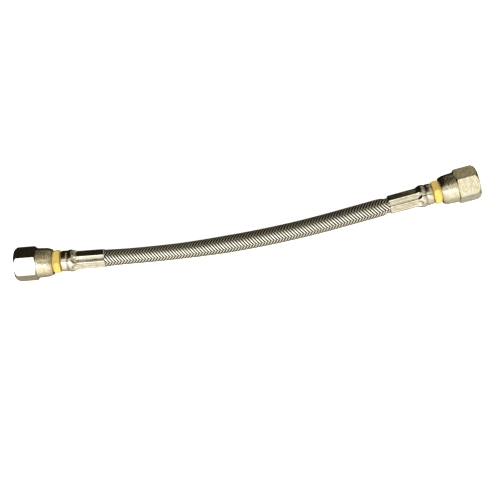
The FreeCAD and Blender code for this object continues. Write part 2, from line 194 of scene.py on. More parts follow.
def add_node(tree, kind, inputs=None, stops=None, **settings):
    """Adds a node, with its settings, its inputs as values or links, and a ramp's stops."""
    node = tree.nodes.new(kind)
    for name, value in settings.items():
        setattr(node, name, value)
    for name, value in (inputs or {}).items():
        if isinstance(value, bpy.types.NodeSocket):
            tree.links.new(value, node.inputs[name])
        else:
            node.inputs[name].default_value = value
    if stops:
        ramp = node.color_ramp
        while len(ramp.elements) < len(stops):
            ramp.elements.new(1.0)
        for element, (place, colour) in zip(ramp.elements, stops):
            element.position = place
            element.color = linear(colour)
    return node


def new_material(name):
    """An empty material, with its node tree and its output node."""
    material = bpy.data.materials.new(name)
    material.use_nodes = True
    tree = material.node_tree
    tree.nodes.clear()
    return material, tree, tree.nodes.new("ShaderNodeOutputMaterial")


print("middle grey in linear light:", round(linear("#808080")[0], 3))

# %% [markdown]
# ## The liner's material
# The liner is extruded fluoropolymer, made black with a little carbon so that the fuel's static
# charge can leak away. It is smooth and slightly waxy, and gives the eye nothing but the black
# between the plaits. Its faint cloudiness is drawn 1.1 mm across, coarser than the real one.

# %% Extruded fluoropolymer, black
liner_finish, tree, output = new_material("fluoropolymer_extruded_black")
coordinates = add_node(tree, "ShaderNodeTexCoord")
cloud = add_node(tree, "ShaderNodeTexNoise", {
    "Vector": coordinates.outputs["Object"], "Scale": 900.0, "Detail": 2.0})
gloss = add_node(tree, "ShaderNodeMapRange", {
    "Value": cloud.outputs["Fac"], "To Min": 0.32, "To Max": 0.5})
surface = add_node(tree, "ShaderNodeBsdfPrincipled", {
    "Base Color": linear("#0B0B0B"),
    "Roughness": gloss.outputs["Result"],
    "IOR": 1.35,
})
tree.links.new(surface.outputs["BSDF"], output.inputs["Surface"])
print("made", liner_finish.name)

# %% [markdown]
# ## The liner
# It could be a curve with a round bevel, but a curve has no wall. Here rings of points are set round
# the hose's line, outside and inside, and joined into a closed tube, which has the real bore.

# %% Liner tube
LINER_BORE = 8.0
LINER_WALL = 0.8
LINER_SIDES = 40
LINER_RINGS = 130
LINER_SETBACK = 0.5


def tube_mesh(name, runs, radii, sides):
    """A closed tube along the hose, between two radii."""
    middle, _, top, near = along_hose(runs)
    angle = np.linspace(0, 2 * math.pi, sides, endpoint=False)[None, :, None]
    spoke = top[:, None] * np.cos(angle) + near[:, None] * np.sin(angle)
    walls = [(middle[:, None] + spoke * radius).reshape(-1, 3) for radius in radii]
    count = len(runs) * sides
    ring = np.arange(count).reshape(len(runs), sides)
    after = np.roll(ring, -1, axis=1)
    outer = np.stack([ring[:-1], after[:-1], after[1:], ring[1:]], axis=-1).reshape(-1, 4)
    first = np.stack([ring[0], ring[0] + count, after[0] + count, after[0]], axis=-1)
    last = np.stack([ring[-1], after[-1], after[-1] + count, ring[-1] + count], axis=-1)
    faces = np.concatenate([outer, outer[:, ::-1] + count, first, last])
    mesh = bpy.data.meshes.new(name)
    mesh.from_pydata(np.concatenate(walls).tolist(), [], faces.tolist())
    return mesh


def link_new(name, mesh, material):
    """A new object for a mesh, smooth all over, in the scene."""
    piece = bpy.data.objects.new(name, mesh)
    bpy.context.scene.collection.objects.link(piece)
    mesh.materials.append(material)
    mesh.polygons.foreach_set("use_smooth", [True] * len(mesh.polygons))
    return piece


liner_runs = np.linspace(LINER_SETBACK * MM, route_run[-1] - LINER_SETBACK * MM, LINER_RINGS)
liner_radii = ((LINER_BORE / 2 + LINER_WALL) * MM, LINER_BORE / 2 * MM)
liner_mesh = tube_mesh("liner_tube", liner_runs, liner_radii, LINER_SIDES)
liner = link_new("liner_tube", liner_mesh, liner_finish)
print("liner faces:", len(liner_mesh.polygons))

# %% [markdown]
# ## The braid's material
# The jacket is woven from drawn stainless wire, bright as it left the die. Along the sides of each
# plait and where it goes under the others, its colour is painted near black as shade, standing in for
# the shadow between and under the plaits. It is this painted dark edge that makes each bright plait
# stand out as a stroke. The mesh carries an attribute that says how much painted shade each point
# gets, and the colour goes from the wire to near black with it. The stain is drawn 1.1 mm across,
# where the real one is finer than a wire.

# %% Drawn stainless wire
wire_finish, tree, output = new_material("stainless_wire_drawn")
coordinates = add_node(tree, "ShaderNodeTexCoord")
stain = add_node(tree, "ShaderNodeTexNoise", {
    "Vector": coordinates.outputs["Object"], "Scale": 900.0, "Detail": 2.0})
tint = add_node(tree, "ShaderNodeValToRGB", {"Fac": stain.outputs["Fac"]},
                stops=[(0.35, "#EFECE2"), (0.65, "#FFFEFA")])
# Painted shade: the plaits' sides and the parts that go under are darkened to near black, standing in
# for shadow.
shelter = add_node(tree, "ShaderNodeAttribute", attribute_name="shelter")
painted_shade_share = add_node(tree, "ShaderNodeMapRange", {"Value": shelter.outputs["Fac"], "From Min": 0.1})
painted_shade_tint = add_node(tree, "ShaderNodeMix", {
    0: painted_shade_share.outputs["Result"], 6: tint.outputs["Color"], 7: linear("#0C0B08")}, data_type="RGBA")
gloss = add_node(tree, "ShaderNodeMapRange", {
    "Value": stain.outputs["Fac"], "To Min": 0.3, "To Max": 0.28})
surface = add_node(tree, "ShaderNodeBsdfPrincipled", {
    "Base Color": painted_shade_tint.outputs[2],
    "Metallic": 1.0,
    "Roughness": gloss.outputs["Result"],
})
tree.links.new(surface.outputs["BSDF"], output.inputs["Surface"])
print("made", wire_finish.name)

# %% [markdown]
# ## How the braid lies
# Twelve plaits run round the hose each way, and each plait is a flat band of five wires side by side.
# A plait goes over the plaits of the other lay along one part of the hose's round and under them
# along the next, which gives the herringbone bands that lie straight along the hose. Both ends of
# the braid are held by the ferrules, and between them it is pushed together a little, so that it
# stands off the liner: most along the right part, and a little more beside the left ferrule than in
# the middle. All sizes are in millimetres, and the shares are of half a plait's width.

# %% Sizes of the braid
PLAITS = 12
SPACING = 2.2
PITCH = PLAITS * SPACING * MM
FIRST_PLAIT = 0.25
BANDS = 3
BAND_MIDDLE = math.radians(-2)
CHANGE_SHARPNESS = 5.0
WIRES = 5
WIRE_ACROSS = 0.34
WIRE_RISE = 0.035
CROWN = 0.16
UNSHADED_SHARE = 0.25
SHADE_FADE_SHARE = 0.35
BRAID_MIDDLE = 5.23
BRAID_SWING = 0.2
SECTION_STEP = 0.31
LOOSENESS = [
    (0, 0),
    (1.5, 0.6),
    (6, 0.6),
    (14, 0.4),
    (22, 0.3),
    (60, 0.4),
    (80, 0.75),
    (92, 0.95),
    (205, 1.05),
    (209.5, 0.85),
    (211, 0),
]


def over_under(angle):
    """Plus one where the right-hand lay is on top and minus one where it is beneath."""
    return np.tanh(np.cos((angle - BAND_MIDDLE) * BANDS) * CHANGE_SHARPNESS)


def stand_off(run):
    """How much looser than on the cut hose the braid lies, at a distance from where it starts."""
    places, amounts = zip(*LOOSENESS)
    return np.interp(run / MM, places, amounts)


print("plait width in mm:", round(WIRES * WIRE_ACROSS, 2), "one turn in mm:", round(PITCH / MM, 1))

# %% [markdown]
# ## The plaits
# The plaits could be curves with a bevel, but a curve can't keep its band flat on the hose. Here each
# section of a plait is set out from the hose's own line, square to the plait and flat on the hose,
# and it rises and falls with its place round the hose. Each wire is a ridge of two faces, smooth over
# its top and sharp at its sides, which shades like a round wire.


# %% One lay of plaits
def plait_section():
    """Across a plait: where its points are, how high they stand and how much painted shade their place
    gets.
    """
    half_width = WIRES * WIRE_ACROSS / 2
    across = np.linspace(-half_width, half_width, 2 * WIRES + 1)
    ridge = np.where(np.arange(len(across)) % 2 == 1, WIRE_RISE, 0.0)
    crown = CROWN * (1 - (across / half_width) ** 2)
    # Painted shade at the plait's sides, where the shadow between the plaits falls.
    edge_shade = np.clip((np.abs(across) / half_width - UNSHADED_SHARE) / SHADE_FADE_SHARE, 0, 1)
    return across * MM, (ridge + crown - WIRE_RISE / 2) * MM, edge_shade


def plait_faces(sections, width):
    """The faces of one closed plait: a band of faces between each two sections, and its ends."""
    index = np.arange(sections * width).reshape(sections, width)
    after = np.roll(index, -1, axis=1)
    band = np.stack([index[:-1], index[1:], after[1:], after[:-1]], axis=-1).reshape(-1, 4)
    return [*band.tolist(), index[0].tolist(), index[-1][::-1].tolist()]


def lay_mesh(name, hand):
    """All plaits of one lay: hand is 1 for the right-hand lay and -1 for the left-hand one."""
    run = np.arange(hose_start, hose_end, SECTION_STEP * MM)
    middle, forward, top, near = along_hose(run)
    across, lift, edge_shade = plait_section()
    one_plait = plait_faces(len(run), len(across))
    loose = stand_off(run - hose_start)
    slope = 2 * math.pi * BRAID_MIDDLE * MM / PITCH
    points, shelter, faces = [], [], []
    for plait in range(PLAITS):
        angle = 2 * math.pi * (plait + FIRST_PLAIT) / PLAITS + hand * 2 * math.pi * run / PITCH
        outward = top * np.cos(angle)[:, None] + near * np.sin(angle)[:, None]
        around = near * np.cos(angle)[:, None] - top * np.sin(angle)[:, None]
        lengthwise = forward + around * hand * slope
        lengthwise /= np.linalg.norm(lengthwise, axis=1)[:, None]
        sideways = np.cross(outward, lengthwise)
        on_top = hand * over_under(angle)
        radius = (BRAID_MIDDLE + loose + BRAID_SWING * on_top) * MM
        section = middle + outward * radius[:, None]
        points.append(section[:, None] + outward[:, None] * lift[None, :, None]
                      + sideways[:, None] * across[None, :, None])
        # Painted shade: darkest where the plait goes under the other lay, and at its sides.
        shelter.append(np.maximum((1 - on_top)[:, None] / 2, edge_shade[None, :]))
        first = plait * len(run) * len(across)
        faces += [[first + corner for corner in face] for face in one_plait]
    mesh = bpy.data.meshes.new(name)
    mesh.from_pydata(np.concatenate([part.reshape(-1, 3) for part in points]).tolist(), [], faces)
    kept = mesh.attributes.new("shelter", "FLOAT", "POINT")
    kept.data.foreach_set("value", np.concatenate([part.ravel() for part in shelter]).tolist())
    return mesh


def sharpen_valleys(mesh):
    """Marks the edges that run along the valleys between the wires as sharp."""
    ends = np.zeros(len(mesh.edges) * 2, np.int32)
    mesh.edges.foreach_get("vertices", ends)
    column = ends.reshape(-1, 2) % (2 * WIRES + 1)
    valley = (column[:, 0] == column[:, 1]) & (column[:, 0] % 2 == 0)
    mesh.edges.foreach_set("use_edge_sharp", valley.tolist())


print("points across a plait:", len(plait_section()[0]))

# %% Both lays
lays = {}
for name, hand in (("braid_right_lay", 1), ("braid_left_lay", -1)):
    lay = lay_mesh(name, hand)
    lays[name] = link_new(name, lay, wire_finish)
    sharpen_valleys(lay)
    print(name, "triangles:", sum(len(face.vertices) - 2 for face in lay.polygons))

# %% [markdown]
# ## Modelling a turned piece
# The nut, the stem and the ferrule are all turned on a lathe. In Blender a turned piece can be spun
# from its half-section. Here a ring of edges is added at its size and place instead, and extruded
# and resized from corner to corner of the closed section, until it meets its own start. The result
# is the same closed shell, and each corner is a plain pair of numbers: millimetres along the
# fitting, and radius.


# %% Turning a shell
def activate(piece):
    """Makes one piece the only selected one, and the active one."""
    bpy.ops.object.select_all(action="DESELECT")
    piece.select_set(True)
    bpy.context.view_layer.objects.active = piece


def arc(start, end, rise, steps):
    """The corners of an arc between two corners of a section. It rises outwards over its chord."""
    chord = Vector(end) - Vector(start)
    outward = Vector((-chord.y, chord.x)).normalized()
    if outward.y < 0:
        outward = -outward
    round_radius = chord.length ** 2 / (8 * rise) + rise / 2
    centre = (Vector(start) + Vector(end)) / 2 - outward * (round_radius - rise)
    half = math.asin(chord.length / 2 / round_radius)
    corners = []
    for step in range(steps + 1):
        lean = half * (2 * step / steps - 1)
        spoke = chord.normalized() * math.sin(lean) + outward * math.cos(lean)
        corners.append(tuple(centre + spoke * round_radius))
    return corners


def turned_shell(name, section, sides, phase=0.0):
    """A closed shell turned about Z from a closed section of (along, radius) corners in mm."""
    bpy.ops.object.select_all(action="DESELECT")
    along, radius = section[0]
    bpy.ops.mesh.primitive_circle_add(vertices=sides, radius=radius * MM,
                                      location=(0, 0, along * MM),
                                      rotation=(0, 0, math.radians(phase)))
    shell = bpy.context.object
    shell.name = name
    bpy.ops.object.transform_apply()
    bpy.ops.object.mode_set(mode="EDIT")
    bpy.ops.mesh.select_all(action="SELECT")
    for (along, radius), (next_along, next_radius) in zip(section, section[1:] + section[:1]):
        step = (0, 0, (next_along - along) * MM)
        bpy.ops.mesh.extrude_region_move(TRANSFORM_OT_translate={"value": step})
        growth = next_radius / radius
        bpy.ops.transform.resize(value=(growth, growth, 1),
                                 center_override=(0, 0, next_along * MM))
    bpy.ops.mesh.select_all(action="SELECT")
    bpy.ops.mesh.remove_doubles(threshold=0.001 * MM)
    bpy.ops.mesh.normals_make_consistent(inside=False)
    bpy.ops.object.mode_set(mode="OBJECT")
    return shell


print("an arc's middle corner:", arc((0.0, 1.0), (2.0, 1.0), 0.5, steps=2)[1])

# %% [markdown]
# ## Cutting and finishing
# A hexagon is milled on a turned blank. In Blender the blank is cut to a hexagonal prism by a
# Boolean modifier, which is then applied. Real edges are never quite sharp, so a Bevel modifier
# rounds each edge of the finished shape a little and keeps the flats flat.


# %% Helpers for cutting and finishing
SHARP_FROM = math.radians(26)


def apply_modifier(piece, kind, **settings):
    """Adds a modifier with its settings, and applies it."""
    activate(piece)
    modifier = piece.modifiers.new(kind.lower(), kind)
    for name, value in settings.items():
        setattr(modifier, name, value)
    bpy.ops.object.modifier_apply(modifier=modifier.name)


def combine(piece, tool, operation):
    """Cuts a shell to another one, or joins the two. The other one is used up."""
    apply_modifier(piece, "BOOLEAN", operation=operation, object=tool, solver="EXACT")
    bpy.data.objects.remove(tool)


def hexagon(flats, start, end):
    """A hexagonal prism with a flat on top and one below."""
    bpy.ops.object.select_all(action="DESELECT")
    bpy.ops.mesh.primitive_cylinder_add(vertices=6, depth=(end - start) * MM,
                                        radius=flats / 2 / math.cos(math.pi / 6) * MM,
                                        location=(0, 0, (start + end) / 2 * MM),
                                        rotation=(0, 0, math.pi / 6))
    bpy.ops.object.transform_apply()
    return bpy.context.object


def soften(piece, width):
    """Smooth faces, and a narrow round on each edge, as tumbling and handling leave it."""
    activate(piece)
    bpy.ops.object.shade_smooth_by_angle(angle=SHARP_FROM)
    apply_modifier(piece, "BEVEL", width=width * MM, segments=2, limit_method="ANGLE",
                   angle_limit=SHARP_FROM, harden_normals=True)


print("edges count as sharp from", round(math.degrees(SHARP_FROM)), "degrees")

# %% [markdown]
# ## Putting a piece on its fitting
# Both fittings use the same three models. Each copy gets a mesh of its own and is put in place, and
# its place is then moved into its mesh, so that the object itself stays at the origin. Before that,
# each point's place on the model is kept for the materials.


# %% Helpers for putting pieces in place
def keep_own_place(piece):
    """Keeps each point's place in the fitting's own millimetres, for the materials."""
    own = piece.data.attributes.new("own_mm", "FLOAT_VECTOR", "POINT")
    own.data.foreach_set("vector", [value / MM for vert in piece.data.vertices for value in vert.co])


def put(model, name, side, body, spin=0.0):
    """A copy of a model, put on its fitting, turned about it by degrees, and riding on its body."""
    piece = model.copy()
    piece.data = model.data.copy()
    piece.name = name
    bpy.context.scene.collection.objects.link(piece)
    piece.matrix_world = fitting_place[side] @ Matrix.Rotation(math.radians(spin), 4, "Z")
    activate(piece)
    bpy.ops.object.transform_apply(location=True, rotation=True, scale=True)
    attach(piece, body)
    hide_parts(name.replace("_piece", ""))
    print(piece.name, "triangles:", sum(len(face.vertices) - 2 for face in piece.data.polygons))


def finish_model(model, material):
    """Gives a finished model its one material, and keeps its points' places."""
    model.data.materials.clear()
    model.data.materials.append(material)
    keep_own_place(model)


print("fittings to fill:", sorted(fitting_place))

# %% [markdown]
# ## The nut's material
# The nuts are turned from hexagonal steel bar and nickel plated. Plated steel is a bright, slightly
# warm mirror where it was turned, with fine tool rings, and duller and mottled where hands and
# spanners have rubbed it. The skirt also has shallow marks that run round it, about 3 mm long and
# 0.8 mm wide, from the rollers that closed its end. The tool rings are about 0.1 mm apart on the
# real skirt. They are drawn 0.3 mm apart here, because finer ones wouldn't show. The mottle is
# 2.4 mm across and the pits 0.7 mm, again coarser than real ones.

# %% Worn nickel plate
nickel_finish, tree, output = new_material("nickel_plate_turned_worn")
coordinates = add_node(tree, "ShaderNodeTexCoord")
own = add_node(tree, "ShaderNodeAttribute", attribute_name="own_mm")
split = add_node(tree, "ShaderNodeSeparateXYZ", {"Vector": own.outputs["Vector"]})
skirt = add_node(tree, "ShaderNodeMapRange", {
    "Value": split.outputs["Z"], "From Min": 15.2, "From Max": 15.8})
mottle = add_node(tree, "ShaderNodeTexNoise", {
    "Vector": coordinates.outputs["Object"], "Scale": 420.0, "Detail": 5.0, "Roughness": 0.6})
pits = add_node(tree, "ShaderNodeTexNoise", {
    "Vector": coordinates.outputs["Object"], "Scale": 1500.0, "Detail": 2.0})
rings = add_node(tree, "ShaderNodeTexNoise", {"W": split.outputs["Z"], "Scale": 3.3, "Detail": 2.0},
                 noise_dimensions="1D")
ring_share = add_node(tree, "ShaderNodeMath", {
    0: rings.outputs["Fac"], 1: skirt.outputs["Result"]}, operation="MULTIPLY")
tint = add_node(tree, "ShaderNodeValToRGB", {"Fac": mottle.outputs["Fac"]},
                stops=[(0.3, "#BFB9A2"), (0.5, "#CFC9B7"), (0.65, "#D6D2C7")])
gloss = add_node(tree, "ShaderNodeMapRange", {
    "Value": mottle.outputs["Fac"], "From Min": 0.3, "From Max": 0.7, "To Min": 0.24, "To Max": 0.1})
dents = add_node(tree, "ShaderNodeBump", {
    "Height": mottle.outputs["Fac"], "Strength": 0.6, "Distance": 0.0002})
drawn_round = add_node(tree, "ShaderNodeMapping", {
    "Vector": own.outputs["Vector"], "Scale": (0.35, 0.35, 1.3)})
marks = add_node(tree, "ShaderNodeTexNoise", {
    "Vector": drawn_round.outputs["Vector"], "Scale": 1.0, "Detail": 3.0})
mark_share = add_node(tree, "ShaderNodeMath", {
    0: marks.outputs["Fac"], 1: skirt.outputs["Result"]}, operation="MULTIPLY")
worn = add_node(tree, "ShaderNodeBump", {
    "Height": mark_share.outputs["Value"], "Strength": 0.5, "Distance": 0.0006,
    "Normal": dents.outputs["Normal"]})
height = add_node(tree, "ShaderNodeMath", {
    0: ring_share.outputs["Value"], 1: pits.outputs["Fac"]}, operation="ADD")
relief = add_node(tree, "ShaderNodeBump", {
    "Height": height.outputs["Value"], "Strength": 0.6, "Distance": 0.00008,
    "Normal": worn.outputs["Normal"]})
surface = add_node(tree, "ShaderNodeBsdfPrincipled", {
    "Base Color": tint.outputs["Color"],
    "Metallic": 1.0,
    "Roughness": gloss.outputs["Result"],
    "Normal": relief.outputs["Normal"],
})
tree.links.new(surface.outputs["BSDF"], output.inputs["Surface"])
print("made", nickel_finish.name)

# %% [markdown]
# ## The swivel nuts
# A swivel nut is a piece of hexagonal bar, turned down to a round skirt, bored and threaded, with
# its end rolled in over the stem. The turned body is made first, wider than the bar where the
# hexagon is, and then cut to the hexagonal prism. Its open end is rounded over and the back of the
# hexagon has a chamfer of 30 degrees, and where these meet the flats, curved edges come out, just
# as on the lathe.

# %% Nut body
NUT_FLATS = 22.2
NUT_LENGTH = 27.0
NUT_SIDES = 96
NUT_EDGE = 0.16
HEX_LENGTH = 16.0
SKIRT_RADIUS = 11.0
BAR_RADIUS = 13.4
CORNER_SLOPE = math.tan(math.radians(30))
FACE_RADIUS = 10.85
FACE_ROUND = 3.8
FACE_RISE = 0.35
THREAD_ROOT = 9.5
THREAD_EDGE = 0.15
THREAD_END = 12.0
CHAMBER_START = 12.4
CHAMBER_END = 24.4
CHAMBER_RADIUS = 9.1
LIP_START = 26.6
LIP_RADIUS = 6.9
LIP_OUTSIDE = 9.4
LIP_RISE = 0.15
ROLL_START = 23.2
ROLL_RADIUS = 10.6
OVERRUN = 1.0

nut_section = [
    (0.0, THREAD_ROOT + THREAD_EDGE),
    (THREAD_EDGE, THREAD_ROOT),
    (THREAD_END, THREAD_ROOT),
    (CHAMBER_START, CHAMBER_RADIUS),
    (CHAMBER_END, CHAMBER_RADIUS),
    (LIP_START, LIP_RADIUS),
    (NUT_LENGTH, LIP_RADIUS),
    *arc((NUT_LENGTH, LIP_OUTSIDE), (ROLL_START, ROLL_RADIUS), LIP_RISE, steps=8),
    (HEX_LENGTH, SKIRT_RADIUS),
    (HEX_LENGTH - (BAR_RADIUS - SKIRT_RADIUS) * CORNER_SLOPE, BAR_RADIUS),
    *arc((FACE_ROUND, BAR_RADIUS), (0.0, FACE_RADIUS), FACE_RISE, steps=6),
]
nut = turned_shell("nut_model", nut_section, NUT_SIDES)
combine(nut, hexagon(NUT_FLATS, -OVERRUN, NUT_LENGTH + OVERRUN), "INTERSECT")
soften(nut, NUT_EDGE)
print("nut body faces:", len(nut.data.polygons))

# %% [markdown]
# ## The nut's thread
# The thread is sixteen turns to the inch, so its turns are 1.5875 mm apart. One tooth is a
# four-cornered ring of edges that stands across the axis, and a Screw modifier carries it round and
# along. Its ends are closed and sunk into the wall, where the tap runs out, and the tooth is joined
# to the nut.

# %% Nut thread
THREAD_PITCH = 25.4 / 16
THREAD_TURNS = 6
THREAD_STEPS = 60
THREAD_MINOR = 8.75
THREAD_START = 1.4
TOOTH_SINK = 0.05
TOOTH_CORNERS = 4
THREAD_SMOOTH = math.radians(30)

bpy.ops.object.select_all(action="DESELECT")
bpy.ops.mesh.primitive_circle_add(vertices=TOOTH_CORNERS, radius=(THREAD_ROOT - THREAD_MINOR) * MM,
                                  rotation=(math.pi / 2, 0, 0),
                                  location=((THREAD_ROOT + TOOTH_SINK) * MM, 0, THREAD_START * MM))
thread = bpy.context.object
bpy.ops.object.transform_apply()
apply_modifier(thread, "SCREW", axis="Z", screw_offset=THREAD_PITCH * MM, iterations=THREAD_TURNS,
               steps=THREAD_STEPS, render_steps=THREAD_STEPS, use_merge_vertices=False)
bpy.ops.object.mode_set(mode="EDIT")
bpy.ops.mesh.select_all(action="SELECT")
bpy.ops.mesh.fill_holes(sides=TOOTH_CORNERS)
bpy.ops.mesh.normals_make_consistent(inside=False)
bpy.ops.object.mode_set(mode="OBJECT")
print("thread sections:", len(thread.data.vertices) // TOOTH_CORNERS)

# %% Run-outs of the thread
RUN_OUT = 8
RUN_OUT_SINK = 0.09

for step in range(RUN_OUT):
    sink = 1 + RUN_OUT_SINK * (1 - step / RUN_OUT)
    for section in (step, THREAD_TURNS * THREAD_STEPS - step):
        for corner in range(section * TOOTH_CORNERS, (section + 1) * TOOTH_CORNERS):
            place = thread.data.vertices[corner].co
            place.x *= sink
            place.y *= sink
activate(thread)
bpy.ops.object.shade_smooth_by_angle(angle=THREAD_SMOOTH)
farthest = max(vert.co.xy.length for vert in thread.data.vertices)
print("farthest sunk point in mm:", round(farthest / MM, 2))

# %% Both nuts
nut.select_set(True)
bpy.context.view_layer.objects.active = nut
bpy.ops.object.join()
finish_model(nut, nickel_finish)
for side in fitting_place:
    put(nut, side + "_nut_piece", side, side + "_nut")
bpy.data.objects.remove(nut)
print("nuts made:", len(fitting_place))

# %% [markdown]
# ## The stem's material
# The stem is turned from brass bar and left bare. Drawn brass bar has a fine grain on its flats and
# a thin film of oxide, which scatter as much light as they mirror, so this brass is only partly
# metallic and fairly rough, and the eye sees a plain warm yellow. Handling has dulled it in patches
# of about 1.4 mm. The tool rings on its round faces are drawn 0.25 mm apart, coarser than real ones,
# so that they show.

# %% Bare turned brass
brass_finish, tree, output = new_material("brass_turned_bare")
coordinates = add_node(tree, "ShaderNodeTexCoord")
own = add_node(tree, "ShaderNodeAttribute", attribute_name="own_mm")
split = add_node(tree, "ShaderNodeSeparateXYZ", {"Vector": own.outputs["Vector"]})
patches = add_node(tree, "ShaderNodeTexNoise", {
    "Vector": coordinates.outputs["Object"], "Scale": 700.0, "Detail": 4.0, "Roughness": 0.6})
rings = add_node(tree, "ShaderNodeTexNoise", {"W": split.outputs["Z"], "Scale": 4.0, "Detail": 1.0},
                 noise_dimensions="1D")
tint = add_node(tree, "ShaderNodeValToRGB", {"Fac": patches.outputs["Fac"]},
                stops=[(0.32, "#E0BE62"), (0.5, "#F0D276"), (0.68, "#F8E092")])
gloss = add_node(tree, "ShaderNodeMapRange", {
    "Value": patches.outputs["Fac"], "From Min": 0.3, "From Max": 0.7,
    "To Min": 0.68, "To Max": 0.52})
height = add_node(tree, "ShaderNodeMath", {
    0: rings.outputs["Fac"], 1: patches.outputs["Fac"]}, operation="ADD")
relief = add_node(tree, "ShaderNodeBump", {
    "Height": height.outputs["Value"], "Strength": 0.5, "Distance": 0.00003})
surface = add_node(tree, "ShaderNodeBsdfPrincipled", {
    "Base Color": tint.outputs["Color"],
    "Metallic": 0.6,
    "Roughness": gloss.outputs["Result"],
    "Normal": relief.outputs["Normal"],
})
tree.links.new(surface.outputs["BSDF"], output.inputs["Surface"])
print("made", brass_finish.name)

# %% [markdown]
# ## The stems
# The stem is one turned piece: the flare seat and the head inside the nut, the neck, a round face, a
# hexagon, the groove that the ferrule locks into, the stop for the cut hose, and the barbed tail
# inside the liner. Only the hexagon isn't round. It is cut from its own prism with its chamfers, and
# then joined to the turned body, which goes on inside it.

# %% Turned body of the stem
STEM_SIDES = 72
HEX_START = 28.1
HEX_END = 32.7
HEAD_START = 13.8
HEAD_END = 23.8
HEAD_RADIUS = 9.0
SEAT_RADIUS = 7.8
SEAT_SLOPE = math.tan(math.radians(37))
NECK_START = 26.2
NECK_END = 27.4
NECK_RADIUS = 6.6
ROUND_FACE_RADIUS = 7.6
INSIDE_HEXAGON = 0.35
GROOVE_RADIUS = 5.2
STOP_START = 36.0
STOP_RADIUS = 6.2
WAY_RADIUS = 3.0
TAIL_ROOT = 3.5
TAIL_END = 63.1
BARBS = 3
BARB_CREST = 3.95
BARB_SHARE = 0.8

barb_pitch = (TAIL_END - HOSE_STOP) / (BARBS + 1)
barbs = []
for barb in range(BARBS):
    foot = HOSE_STOP + barb_pitch * (barb + 0.5)
    barbs += [(foot, TAIL_ROOT), (foot, BARB_CREST), (foot + barb_pitch * BARB_SHARE, TAIL_ROOT)]
stem_section = [
    (HEAD_START + (SEAT_RADIUS - WAY_RADIUS) / SEAT_SLOPE, WAY_RADIUS),
    (HEAD_START, SEAT_RADIUS),
    (HEAD_START, HEAD_RADIUS),
    (HEAD_END, HEAD_RADIUS),
    (NECK_START, NECK_RADIUS),
    (NECK_END, NECK_RADIUS),
    (NECK_END, ROUND_FACE_RADIUS),
    (HEX_END - INSIDE_HEXAGON, ROUND_FACE_RADIUS),
    (HEX_END - INSIDE_HEXAGON, GROOVE_RADIUS),
    (STOP_START, GROOVE_RADIUS),
    (STOP_START, STOP_RADIUS),
    (HOSE_STOP, STOP_RADIUS),
    (HOSE_STOP, TAIL_ROOT),
    *barbs,
    (TAIL_END, TAIL_ROOT),
    (TAIL_END, WAY_RADIUS),
]
stem = turned_shell("stem_model", stem_section, STEM_SIDES)
print("barbs are", round(barb_pitch, 2), "mm apart")

# %% Hexagon of the stem
STEM_FLATS = 15.9
STEM_EDGE = 0.12
HEX_BLANK = 9.6
HEX_FACE = 7.775
HEX_INSIDE = 5.0

chamfer_run = (HEX_BLANK - HEX_FACE) * CORNER_SLOPE
hex_section = [
    (HEX_START, HEX_INSIDE),
    (HEX_START, HEX_FACE),
    (HEX_START + chamfer_run, HEX_BLANK),
    (HEX_END - chamfer_run, HEX_BLANK),
    (HEX_END, HEX_FACE),
    (HEX_END, HEX_INSIDE),
]
stem_hexagon = turned_shell("stem_hexagon", hex_section, STEM_SIDES)
combine(stem_hexagon, hexagon(STEM_FLATS, HEX_START - OVERRUN, HEX_END + OVERRUN), "INTERSECT")
combine(stem, stem_hexagon, "UNION")
soften(stem, STEM_EDGE)
finish_model(stem, brass_finish)
for side in fitting_place:
    put(stem, side + "_stem_piece", side, "hose", STEM_SPIN[side])
bpy.data.objects.remove(stem)
print("stems made:", len(fitting_place))

# %% [markdown]
# ## The ferrule's material
# The ferrule is a stainless tube, polished, and then squeezed by eight dies. The dies leave their own
# polish on the pressed faces, drawn out along the hose, so the reflections there run in long
# streaks, about half a millimetre wide and 7 mm long. Smudges of a few millimetres change its colour
# a little.

# %% Polished stainless, crimped
ferrule_finish, tree, output = new_material("stainless_polished_crimped")
coordinates = add_node(tree, "ShaderNodeTexCoord")
own = add_node(tree, "ShaderNodeAttribute", attribute_name="own_mm")
drawn = add_node(tree, "ShaderNodeMapping", {
    "Vector": own.outputs["Vector"], "Scale": (1.0, 1.0, 0.06)})
streaks = add_node(tree, "ShaderNodeTexNoise", {
    "Vector": drawn.outputs["Vector"], "Scale": 2.2, "Detail": 4.0})
smudges = add_node(tree, "ShaderNodeTexNoise", {
    "Vector": coordinates.outputs["Object"], "Scale": 300.0, "Detail": 3.0})
tint = add_node(tree, "ShaderNodeValToRGB", {"Fac": smudges.outputs["Fac"]},
                stops=[(0.3, "#BAB5A5"), (0.6, "#D8D5CC")])
gloss = add_node(tree, "ShaderNodeMapRange", {
    "Value": streaks.outputs["Fac"], "From Min": 0.3, "From Max": 0.7,
    "To Min": 0.06, "To Max": 0.2})
relief = add_node(tree, "ShaderNodeBump", {
    "Height": streaks.outputs["Fac"], "Strength": 0.6, "Distance": 0.00004})
surface = add_node(tree, "ShaderNodeBsdfPrincipled", {
    "Base Color": tint.outputs["Color"],
    "Metallic": 1.0,
    "Roughness": gloss.outputs["Result"],
    "Normal": relief.outputs["Normal"],
})
tree.links.new(surface.outputs["BSDF"], output.inputs["Surface"])
print("made", ferrule_finish.name)

# %% [markdown]
# ## The ferrules before crimping
# The ferrule is turned with a plain collar, a fine line and a round bulge, and its inner flange
# reaches into the stem's groove. Its edges are written as how far back and how far down each of
# their corners lies, and the bulge is an arc. The shell gets sixteen columns of points for each die
# that presses it later.

